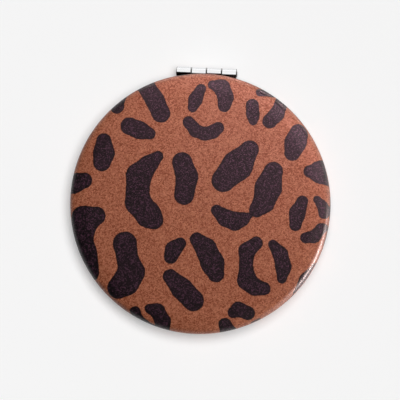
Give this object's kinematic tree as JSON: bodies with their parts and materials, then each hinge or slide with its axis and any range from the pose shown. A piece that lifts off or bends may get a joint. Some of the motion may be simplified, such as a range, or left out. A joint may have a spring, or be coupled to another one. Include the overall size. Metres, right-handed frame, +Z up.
{
  "type": "compact mirror",
  "caption": "Round pocket compact mirror in printed imitation leather: a hinged lid closes over a flat mirror and a magnifying mirror in chrome frames.",
  "frame": {"origin": "centre of the base's flat underside, on the axis of the round case, not counting the hinge", "axes": "+Z up through the closed case, +Y towards the hinge"},
  "size_m": [0.07, 0.0719, 0.0109],
  "materials": {
    "printed_leather": "fine-grained imitation leather with a dark animal print",
    "foam": "thin soft foam",
    "tinplate": "pressed tinplate",
    "greyboard": "grey recycled board",
    "tape": "double-sided tape",
    "mirror_glass": "silvered glass",
    "chrome": "bright chrome plate",
    "magnet": "nickel-plated disc magnet",
    "rivet_steel": "flush steel rivet",
    "pin_steel": "drawn steel pin"
  },
  "bodies": {
    "base": {"base_leather_cover": "printed_leather", "base_padding": "foam", "base_shell": "tinplate", "base_backing_card": "greyboard", "base_mirror_tape": "tape", "base_mirror": "mirror_glass", "base_mirror_frame": "chrome", "base_magnets": "magnet", "base_hinge_leaf": "chrome", "base_hinge_rivets": "rivet_steel", "hinge_pin": "pin_steel"},
    "lid": {"lid_leather_cover": "printed_leather", "lid_padding": "foam", "lid_shell": "tinplate", "lid_backing_card": "greyboard", "lid_mirror_tape": "tape", "lid_mirror": "mirror_glass", "lid_mirror_frame": "chrome", "lid_magnets": "magnet", "lid_hinge_leaf": "chrome", "lid_hinge_rivets": "rivet_steel"}
  },
  "joints": [
    {"name": "lid_hinge", "type": "hinge", "parent": "base", "child": "lid", "pos_m": [0, 0.03545, 0.00544], "axis": [-1, 0, 0], "range_deg": [0, 180]}
  ]
}
